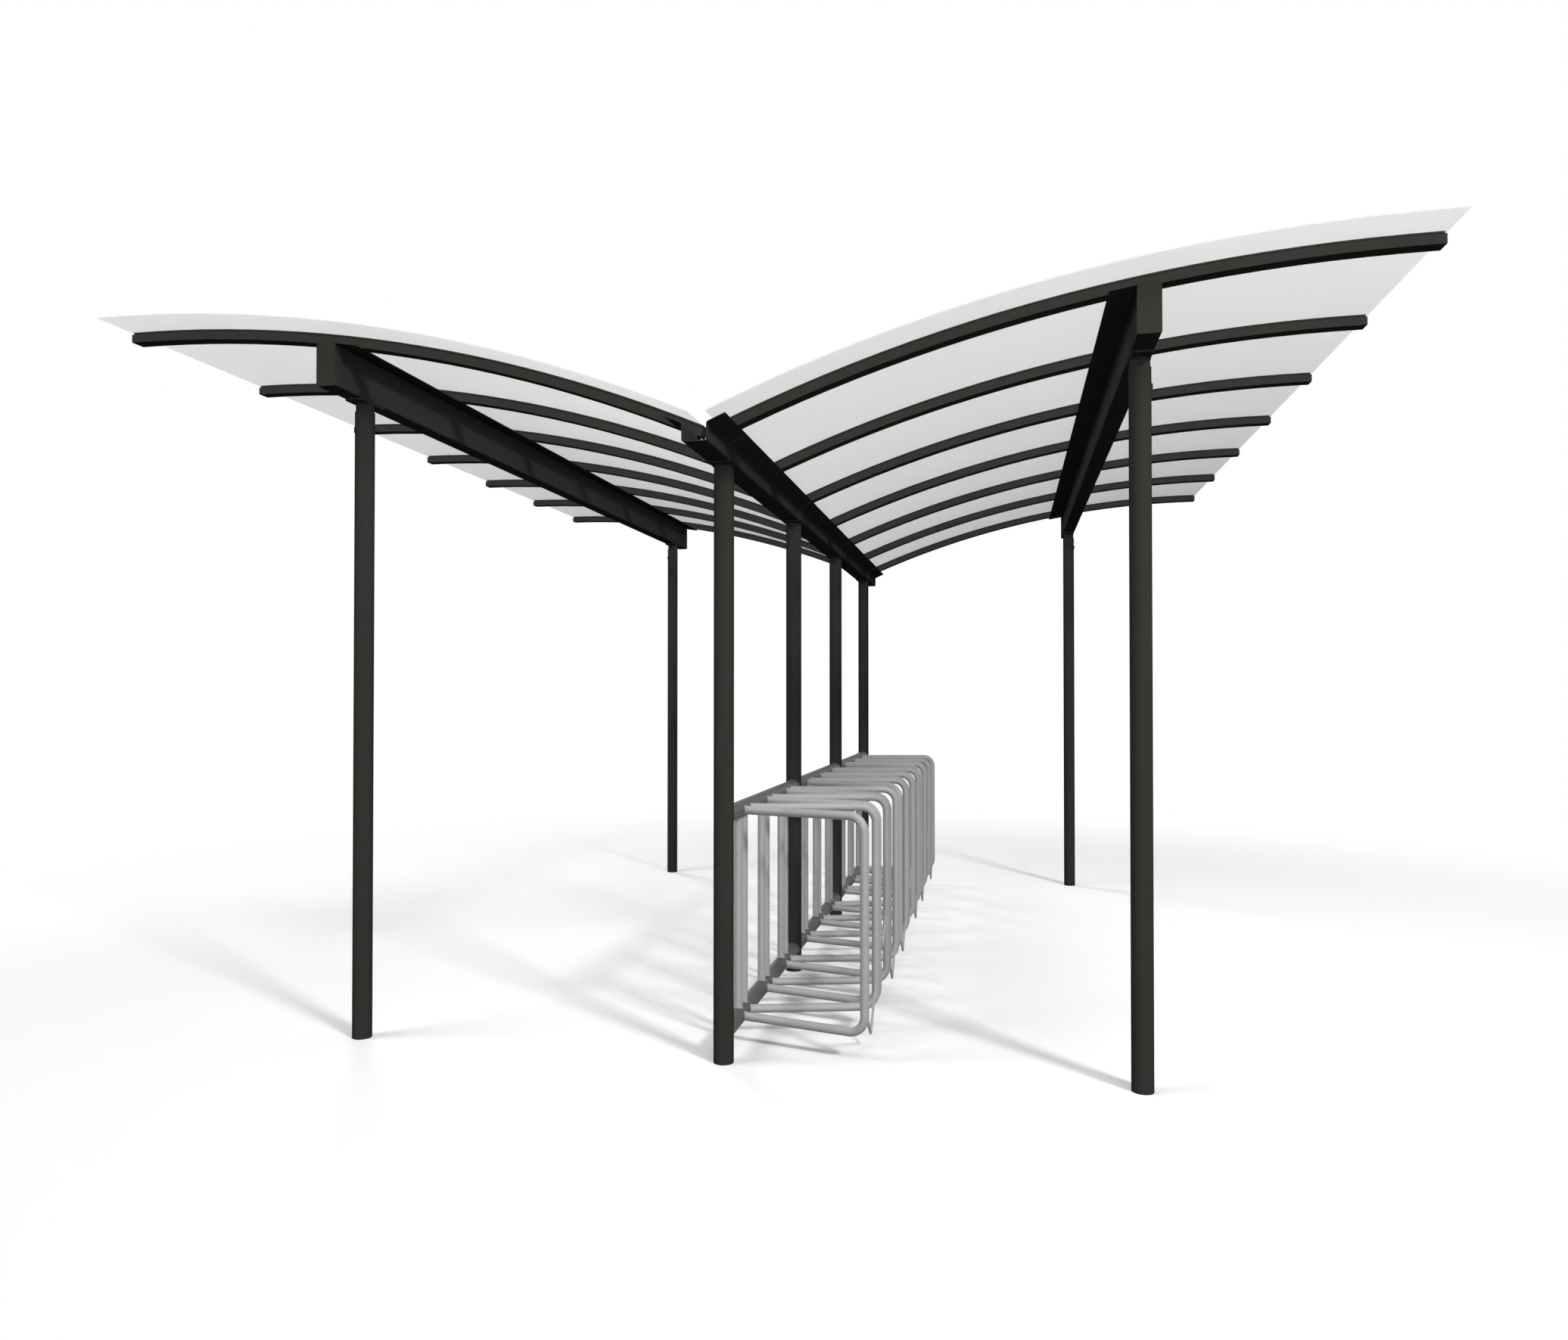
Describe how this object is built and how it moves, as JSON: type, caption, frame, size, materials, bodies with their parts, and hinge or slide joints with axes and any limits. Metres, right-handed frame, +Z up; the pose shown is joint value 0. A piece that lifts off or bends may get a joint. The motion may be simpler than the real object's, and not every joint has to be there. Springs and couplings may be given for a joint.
{
  "type": "bike shelter",
  "caption": "Open bicycle shelter: two curved roof wings falling to a central gutter on round posts, with a tube rack for front wheels along one side.",
  "frame": {"origin": "on the ground, at the middle of the row of centre posts", "axes": "+X across the shelter towards the side with the rack, +Y along the gutter, +Z up"},
  "size_m": [4.772, 4.928, 2.8144],
  "materials": {
    "frame_steel": "fine-textured anthracite powder coat",
    "rail_steel": "grey powder coat",
    "rack_steel": "hot-dip galvanised, dull",
    "glazing_bar": "anthracite powder coat",
    "roof_sheet": "opal polycarbonate, satin"
  },
  "bodies": {
    "root": {"centre_post_1": "frame_steel", "centre_post_2": "frame_steel", "centre_post_3": "frame_steel", "centre_post_4": "frame_steel", "side_post_right_near": "frame_steel", "side_post_right_far": "frame_steel", "post_heads_right": "frame_steel", "side_beam_right": "frame_steel", "seat_plate_right": "frame_steel", "side_post_left_near": "frame_steel", "side_post_left_far": "frame_steel", "post_heads_left": "frame_steel", "side_beam_left": "frame_steel", "seat_plate_left": "frame_steel", "gutter": "frame_steel", "gutter_saddles": "frame_steel", "beam_end_caps": "frame_steel", "rib_right_1": "frame_steel", "rib_right_2": "frame_steel", "rib_right_3": "frame_steel", "rib_right_4": "frame_steel", "rib_right_5": "frame_steel", "rib_right_6": "frame_steel", "rib_right_7": "frame_steel", "rib_end_caps_right": "frame_steel", "glazing_bars_right": "glazing_bar", "roof_sheet_right": "roof_sheet", "rib_left_1": "frame_steel", "rib_left_2": "frame_steel", "rib_left_3": "frame_steel", "rib_left_4": "frame_steel", "rib_left_5": "frame_steel", "rib_left_6": "frame_steel", "rib_left_7": "frame_steel", "rib_end_caps_left": "frame_steel", "glazing_bars_left": "glazing_bar", "roof_sheet_left": "roof_sheet", "upper_rails": "rail_steel", "lower_rails": "rail_steel", "rack_bars": "rack_steel", "wheel_stops": "rack_steel", "rack_hoops_bay_1": "rack_steel", "rack_hoops_bay_2": "rack_steel", "rack_hoops_bay_3": "rack_steel"}
  },
  "joints": []
}
